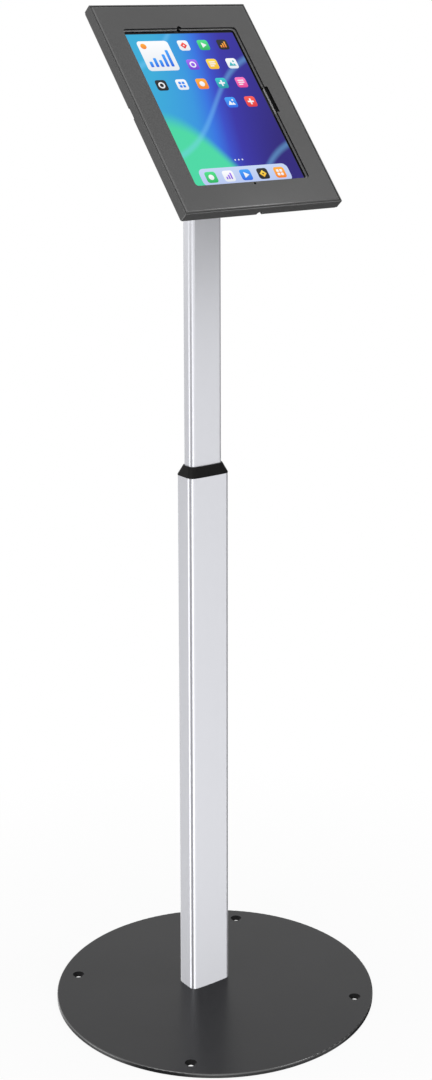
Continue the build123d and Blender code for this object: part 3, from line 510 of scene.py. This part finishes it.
def wallpaper():
    """Soft waves: cyan at the left, blue, indigo at the lower right, with a mint wave across one corner."""
    band_slope = -0.45
    wave_turn = 5.5
    wave_height = 0.09
    band_reach = 0.6
    mint_wave_height = 0.12
    mint_slope = 0.75
    mint_start = -0.42
    mint_full = -0.56
    ridge_slope = -1.3
    ridge_gap = 0.5
    ridge_width = 0.06
    ridge_share = 0.3
    band_stops = (
        (0.0, "2faad6"), (0.28, "2b92dc"), (0.43, "2a70de"), (0.55, "2e46c4"), (0.68, "2d27a2"),
        (1.0, "1f0f76"),
    )
    material, tree, shader = lit_pixels("lit_wallpaper")
    place = add_node(tree, "ShaderNodeTexCoord").outputs["Object"]
    across = add_node(
        tree, "ShaderNodeVectorMath", {"operation": "DOT_PRODUCT", 1: ACROSS / DISPLAY_WIDTH}, {0: place},
    ).outputs["Value"]
    from_pivot = add_node(tree, "ShaderNodeVectorMath", {"operation": "SUBTRACT", 1: PIVOT}, {0: place})
    up = add_node(
        tree, "ShaderNodeVectorMath", {"operation": "DOT_PRODUCT", 1: UP_FACE / DISPLAY_HEIGHT},
        {0: from_pivot.outputs[0]},
    ).outputs["Value"]
    slope = add_node(
        tree, "ShaderNodeMath", {"operation": "MULTIPLY_ADD", 1: band_slope}, {0: up, 2: across},
    )
    turn = add_node(tree, "ShaderNodeMath", {"operation": "MULTIPLY", 1: wave_turn}, {0: across})
    swell = add_node(tree, "ShaderNodeMath", {"operation": "SINE"}, {0: turn.outputs[0]})
    sweep = add_node(
        tree, "ShaderNodeMath", {"operation": "MULTIPLY_ADD", 1: wave_height},
        {0: swell.outputs[0], 2: slope.outputs[0]},
    )
    way = add_node(
        tree, "ShaderNodeMapRange", {"From Min": -band_reach, "From Max": band_reach},
        {"Value": sweep.outputs[0]},
    )
    bands = add_node(tree, "ShaderNodeValToRGB", {}, {0: way.outputs[0]})
    set_stops(bands, [(position, hex_colour(colour)) for position, colour in band_stops])
    crest = add_node(
        tree, "ShaderNodeMath", {"operation": "MULTIPLY_ADD", 1: mint_wave_height},
        {0: swell.outputs[0], 2: up},
    )
    mint_side = add_node(
        tree, "ShaderNodeMath", {"operation": "MULTIPLY_ADD", 1: mint_slope},
        {0: across, 2: crest.outputs[0]},
    )
    mint = add_node(
        tree, "ShaderNodeMapRange",
        {"interpolation_type": "SMOOTHSTEP", "From Min": mint_start, "From Max": mint_full},
        {"Value": mint_side.outputs[0]},
    )
    with_mint = add_node(
        tree, "ShaderNodeMix", {"data_type": "RGBA", 7: hex_colour("45d6a2")},
        {0: mint.outputs[0], 6: bands.outputs[0]},
    )
    ridge_side = add_node(
        tree, "ShaderNodeMath", {"operation": "MULTIPLY_ADD", 1: ridge_slope}, {0: up, 2: sweep.outputs[0]},
    )
    from_ridge = add_node(
        tree, "ShaderNodeMath", {"operation": "PINGPONG", 1: ridge_gap}, {0: ridge_side.outputs[0]},
    )
    ridge = add_node(
        tree, "ShaderNodeMapRange",
        {
            "interpolation_type": "SMOOTHSTEP", "From Min": ridge_width, "From Max": 0.0,
            "To Max": ridge_share,
        },
        {"Value": from_ridge.outputs[0]},
    )
    picture = add_node(
        tree, "ShaderNodeMix", {"data_type": "RGBA", 7: hex_colour("7fd0ff")},
        {0: ridge.outputs[0], 6: with_mint.outputs[2]},
    )
    tree.links.new(picture.outputs[2], shader.inputs["Emission Color"])
    return material


def lit_tile(name, low_colour, high_colour):
    """Pixels of one tile, shaded from its lower edge to its upper edge."""
    material, tree, shader = lit_pixels(name)
    place = add_node(tree, "ShaderNodeUVMap").outputs["UV"]
    height = add_node(tree, "ShaderNodeSeparateXYZ", {}, {0: place}).outputs[1]
    shade = add_node(
        tree, "ShaderNodeMix", {"data_type": "RGBA", 6: hex_colour(low_colour), 7: hex_colour(high_colour)},
        {0: height},
    )
    tree.links.new(shade.outputs[2], shader.inputs["Emission Color"])
    return material


tile_finish = {
    "white": lit_tile("lit_tile_white", "e4e8ee", "fbfcfe"),
    "black": lit_tile("lit_tile_black", "101114", "26282c"),
    "green": lit_tile("lit_tile_green", "1fae5a", "4be08a"),
    "blue": lit_tile("lit_tile_blue", "1d62e0", "3fa2fa"),
    "orange": lit_tile("lit_tile_orange", "f07a1c", "ffb23a"),
    "pink": lit_tile("lit_tile_pink", "e23a8e", "ff7ac2"),
    "red": lit_tile("lit_tile_red", "d92c34", "ff5c50"),
    "violet": lit_tile("lit_tile_violet", "6a35cf", "a56cf2"),
    "teal": lit_tile("lit_tile_teal", "12919f", "35c9cf"),
    "yellow": lit_tile("lit_tile_yellow", "f0b41c", "ffdf52"),
    "dock": lit_tile("lit_dock_panel", "b4c4ee", "c6d6f4"),
}
picture_pieces = []


def patch(finish, level, across, up, width, height, corner=0.0):
    """Flat patch, lying face up at a place on the display, with rounded corners where it has any."""
    deselect()
    bpy.ops.mesh.primitive_plane_add(size=1, location=(across, up, level * LAYER))
    piece = bpy.context.object
    piece.scale = (width, height, 1)
    bpy.ops.object.transform_apply(location=True, rotation=True, scale=True)
    if corner:
        bpy.ops.object.mode_set(mode="EDIT")
        bpy.ops.mesh.select_all(action="SELECT")
        bpy.ops.mesh.bevel(offset=corner, segments=5, affect="VERTICES")
        bpy.ops.object.mode_set(mode="OBJECT")
    piece.data.materials.append(finish)
    picture_pieces.append(piece)


def disc(finish, level, across, up, radius, hole=0.0, sides=28, turn=0.0):
    """Flat disc or polygon, lying face up at a place on the display, or a ring where it has a hole."""
    deselect()
    bpy.ops.mesh.primitive_circle_add(
        vertices=sides, radius=radius, fill_type="NGON", location=(across, up, level * LAYER),
        rotation=(0, 0, turn),
    )
    piece = bpy.context.object
    bpy.ops.object.transform_apply(location=True, rotation=True, scale=True)
    if hole:
        bpy.ops.object.mode_set(mode="EDIT")
        bpy.ops.mesh.select_all(action="SELECT")
        bpy.ops.mesh.inset(thickness=radius - hole)
        bpy.ops.mesh.delete(type="FACE")
        bpy.ops.object.mode_set(mode="OBJECT")
    piece.data.materials.append(finish)
    picture_pieces.append(piece)


def sign(kind, finish, across, up):
    """Simple sign in the middle of an icon: one of eight kinds, or else a dot."""
    if kind == "ring":
        disc(finish, SIGN, across, up, radius=4.4 * MM, hole=2.6 * MM)
    elif kind == "play":
        disc(finish, SIGN, across, up, radius=4.6 * MM, sides=3, turn=math.radians(30))
    elif kind == "gem":
        disc(finish, SIGN, across, up, radius=4.8 * MM, hole=2.4 * MM, sides=4)
    elif kind == "bars":
        foot = up - 4.2 * MM
        for side, tall in ((-3.2 * MM, 3.5 * MM), (0, 6.0 * MM), (3.2 * MM, 8.5 * MM)):
            patch(finish, SIGN, across + side, foot + tall / 2, width=2.0 * MM, height=tall)
    elif kind == "lines":
        start = across - 4.25 * MM
        for rise, wide in ((2.9 * MM, 8.5 * MM), (0, 8.5 * MM), (-2.9 * MM, 5.5 * MM)):
            patch(finish, SIGN, start + wide / 2, up + rise, width=wide, height=1.5 * MM)
    elif kind == "plus":
        patch(finish, SIGN, across, up, width=8.4 * MM, height=2.2 * MM)
        patch(finish, SIGN_TOP, across, up, width=2.2 * MM, height=8.4 * MM)
    elif kind == "tiles":
        step = 2.4 * MM
        tile = 3.6 * MM
        for side in (-step, step):
            for rise in (-step, step):
                patch(finish, SIGN, across + side, up + rise, width=tile, height=tile, corner=0.8 * MM)
    elif kind == "hills":
        disc(finish, SIGN, across - 1.6 * MM, up - 1.6 * MM, radius=4.0 * MM, sides=3)
        disc(finish, SIGN_TOP, across + 2.6 * MM, up - 2.2 * MM, radius=2.8 * MM, sides=3)
        disc(finish, SIGN, across + 2.8 * MM, up + 3.2 * MM, radius=1.3 * MM)
    else:
        disc(finish, SIGN, across, up, radius=3.6 * MM)


def icon(colour, kind, sign_colour, across, up):
    """Rounded square icon with its sign."""
    patch(tile_finish[colour], ICON, across, up, width=15 * MM, height=15 * MM, corner=3.4 * MM)
    sign(kind, tile_finish[sign_colour], across, up)


patch(wallpaper(), WALLPAPER, 0, 0, width=DISPLAY_WIDTH, height=DISPLAY_HEIGHT)

# Rows of icons: how far up in millimetres, how far across, and the colour, sign and sign's colour
ROW_OF_DOCK = -93
icon_rows = (
    (92, (0, 28, 56), (("white", "gem", "red"), ("green", "play", "white"), ("black", "bars", "orange"))),
    (64, (0, 28, 56), (
        ("violet", "ring", "white"), ("yellow", "lines", "white"), ("white", "hills", "teal"),
    )),
    (36, (-56, -28, 0, 28, 56), (
        ("black", "ring", "white"), ("white", "tiles", "blue"), ("orange", "dot", "white"),
        ("teal", "plus", "white"), ("pink", "lines", "white"),
    )),
    (8, (28, 56), (("blue", "hills", "white"), ("red", "plus", "white"))),
    (ROW_OF_DOCK, (-48, -24, 0, 24, 48), (
        ("green", "dot", "white"), ("white", "bars", "violet"), ("blue", "play", "white"),
        ("black", "gem", "yellow"), ("orange", "tiles", "white"),
    )),
)
for up, columns, icons in icon_rows:
    for across, (colour, kind, sign_colour) in zip(columns, icons):
        icon(colour, kind, sign_colour, across * MM, up * MM)

# Card with a small chart, in place of the first icons of two rows
CHART_LEFT = -56 * MM
CHART_FOOT = 62 * MM
CHART_STEP = 7 * MM
patch(tile_finish["white"], PANEL, -42 * MM, 78 * MM, width=43 * MM, height=43 * MM, corner=4.5 * MM)
for step, tall in enumerate((8 * MM, 13 * MM, 10 * MM, 18 * MM, 24 * MM)):
    patch(
        tile_finish["blue"], ICON, CHART_LEFT + CHART_STEP * step, CHART_FOOT + tall / 2,
        width=4.2 * MM, height=tall, corner=1.2 * MM,
    )
disc(tile_finish["orange"], ICON, CHART_LEFT, 92 * MM, radius=4 * MM)

# Dock, and the dots that count the pages
patch(tile_finish["dock"], PANEL, 0, ROW_OF_DOCK * MM, width=124 * MM, height=24 * MM, corner=7 * MM)
for across in (-5 * MM, 0, 5 * MM):
    disc(tile_finish["white"], PANEL, across, -72 * MM, radius=1 * MM)

deselect()
for piece in picture_pieces:
    piece.select_set(True)
bpy.context.view_layer.objects.active = picture_pieces[0]
bpy.ops.object.join()
display_picture = bpy.context.object
display_picture.name = "display_picture"
display_picture.matrix_world = case_matrix(DISPLAY_ACROSS, DISPLAY_UP, glass_face)
bpy.ops.object.transform_apply(location=True, rotation=True, scale=True)
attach(display_picture, "case")


# Floor, light and background
def background_rays(tree):
    """1 for the rays that show the background: from the camera, from a mirror and through glass."""
    rays = add_node(tree, "ShaderNodeLightPath")
    mirrored = add_node(
        tree, "ShaderNodeMath", {"operation": "MAXIMUM"},
        {0: rays.outputs["Is Camera Ray"], 1: rays.outputs["Is Glossy Ray"]},
    )
    seen = add_node(
        tree, "ShaderNodeMath", {"operation": "MAXIMUM"},
        {0: mirrored.outputs[0], 1: rays.outputs["Is Transmission Ray"]},
    )
    return seen.outputs[0]


FLOOR_SIZE = 14


def floor_paper():
    """White paper. Most of what the camera sees of it is its own white, so the shadow stays faint."""
    shadow_full = 0.22
    shadow_gone = 0.7
    own_white_in_shadow = 0.93
    material, tree = new_material("white_floor_paper")
    paper = add_node(tree, "ShaderNodeBsdfDiffuse", {"Color": hex_colour("f6f6f6")})
    glow = add_node(tree, "ShaderNodeEmission", {"Color": (1, 1, 1, 1), "Strength": 1.0})
    place = add_node(tree, "ShaderNodeTexCoord").outputs["Object"]
    from_stand = add_node(tree, "ShaderNodeVectorMath", {"operation": "LENGTH"}, {0: place})
    own_white = add_node(
        tree, "ShaderNodeMapRange",
        {"From Min": shadow_full, "From Max": shadow_gone, "To Min": own_white_in_shadow, "To Max": 1.0},
        {"Value": from_stand.outputs["Value"]},
    )
    glow_share = add_node(
        tree, "ShaderNodeMath", {"operation": "MULTIPLY"},
        {0: own_white.outputs[0], 1: background_rays(tree)},
    )
    shader = add_node(
        tree, "ShaderNodeMixShader", {}, {0: glow_share.outputs[0], 1: paper.outputs[0], 2: glow.outputs[0]},
    )
    finish_material(tree, shader)
    return material


deselect()
bpy.ops.mesh.primitive_plane_add(size=FLOOR_SIZE, location=(0, 0, 0))
floor = bpy.context.object
floor.name = "studio_floor"
floor.data.materials.append(floor_paper())
floor.visible_glossy = False

# White and grey cards round the stand, which only its shiny surfaces show. Each stop is an angle in
# degrees from the front towards the left, and the card's brightness there.
card_stops = (
    (-180, 1.05), (-132, 1.05), (-122, 0.05), (-70, 0.05), (-60, 1.0), (-50, 1.0), (-42, 0.92),
    (-20, 0.95), (18, 1.0), (26, 2.0), (47, 2.0), (58, 0.05), (92, 0.05), (105, 2.0), (128, 2.0),
    (138, 0.64), (156, 0.58), (170, 0.6), (180, 1.05),
)
# Higher up, a wide soft card at the front and the left catches the base's rim and the case's bends.
high_stops = (
    (-180, 1.05), (-120, 1.05), (-100, 0.3), (-24, 0.3), (-12, 1.25), (100, 1.25), (125, 1.1), (180, 1.05),
)
CARD_RADIUS = 6
CARD_HEIGHT = 20
CARD_MIDDLE = -4


def card_brightness(tree, way_round, stops):
    """Brightness all round from a list of stops, where way_round runs from 0 to 1."""
    brightest = max(brightness for degrees, brightness in stops)
    ramp = add_node(tree, "ShaderNodeValToRGB", {}, {0: way_round.outputs[0]})
    greys = []
    for degrees, brightness in stops:
        level = brightness / brightest
        greys.append(((degrees + 180) / 360, (level, level, level, 1)))
    set_stops(ramp, greys)
    scaled = add_node(
        tree, "ShaderNodeMath", {"operation": "MULTIPLY", 1: brightest}, {0: ramp.outputs[0]},
    )
    return scaled.outputs[0]


def card_light():
    """Light of the cards: by the angle round the stand, changing with height, and brighter low down."""
    low_cards_end = -0.15
    high_cards_start = 0.2
    bright_height = -3.0
    low_brightness = 1.15
    high_brightness = 0.88
    material, tree = new_material("studio_cards")
    place = add_node(tree, "ShaderNodeTexCoord").outputs["Object"]
    from_front = add_node(
        tree, "ShaderNodeVectorMath", {"operation": "MULTIPLY", 1: (-1, -1, 1)}, {0: place},
    )
    sides = add_node(tree, "ShaderNodeSeparateXYZ", {}, {0: from_front.outputs[0]})
    angle = add_node(
        tree, "ShaderNodeMath", {"operation": "ARCTAN2"}, {0: sides.outputs[0], 1: sides.outputs[1]},
    )
    way_round = add_node(
        tree, "ShaderNodeMapRange", {"From Min": -math.pi, "From Max": math.pi},
        {"Value": angle.outputs[0]},
    )
    higher = add_node(
        tree, "ShaderNodeMapRange", {"From Min": low_cards_end, "From Max": high_cards_start},
        {"Value": sides.outputs[2]},
    )
    low_cards = card_brightness(tree, way_round, card_stops)
    high_cards = card_brightness(tree, way_round, high_stops)
    strength = add_node(
        tree, "ShaderNodeMix", {"data_type": "FLOAT"}, {0: higher.outputs[0], 2: low_cards, 3: high_cards},
    )
    lower = add_node(
        tree, "ShaderNodeMapRange",
        {"From Min": bright_height, "From Max": 0.0, "To Min": low_brightness, "To Max": high_brightness},
        {"Value": sides.outputs[2]},
    )
    graded = add_node(
        tree, "ShaderNodeMath", {"operation": "MULTIPLY"}, {0: strength.outputs[0], 1: lower.outputs[0]},
    )
    light = add_node(tree, "ShaderNodeEmission", {"Color": (1, 1, 1, 1)}, {"Strength": graded.outputs[0]})
    finish_material(tree, light)
    return material


deselect()
bpy.ops.mesh.primitive_cylinder_add(
    vertices=96, radius=CARD_RADIUS, depth=CARD_HEIGHT, end_fill_type="NOTHING",
    location=(0, 0, CARD_MIDDLE),
)
bpy.ops.object.transform_apply(location=True, rotation=True, scale=True)
cards = bpy.context.object
cards.name = "studio_cards"
cards.data.materials.append(card_light())
cards.visible_camera = False
cards.visible_diffuse = False
cards.visible_transmission = False
cards.visible_shadow = False

# White surroundings, which light the stand less than they show
SKY_LIGHT = 0.45
SKY_SEEN = 1.0
world = bpy.data.worlds.new("studio")
bpy.context.scene.world = world
world.use_nodes = True
sky = world.node_tree
sky.nodes.clear()
strength = add_node(
    sky, "ShaderNodeMapRange", {"To Min": SKY_LIGHT, "To Max": SKY_SEEN}, {"Value": background_rays(sky)},
)
backdrop = add_node(
    sky, "ShaderNodeBackground", {"Color": (1, 1, 1, 1)}, {"Strength": strength.outputs[0]},
)
add_node(sky, "ShaderNodeOutputWorld", links={"Surface": backdrop.outputs[0]})


def softbox(name, place, target, size, watts):
    """Square area lamp at a place, turned towards a target."""
    data = bpy.data.lights.new(name, "AREA")
    data.size = size
    data.energy = watts
    lamp = bpy.data.objects.new(name, data)
    bpy.context.scene.collection.objects.link(lamp)
    lamp.location = place
    lamp.rotation_euler = (Vector(target) - Vector(place)).to_track_quat("-Z", "Y").to_euler()


softbox("key_softbox", place=(1.04, -0.98, 2.16), target=(0, 0, 1.0), size=0.8, watts=9.5)
softbox("fill_softbox", place=(-3.0, -1.2, 2.4), target=(0, 0, 0.5), size=1.6, watts=24)
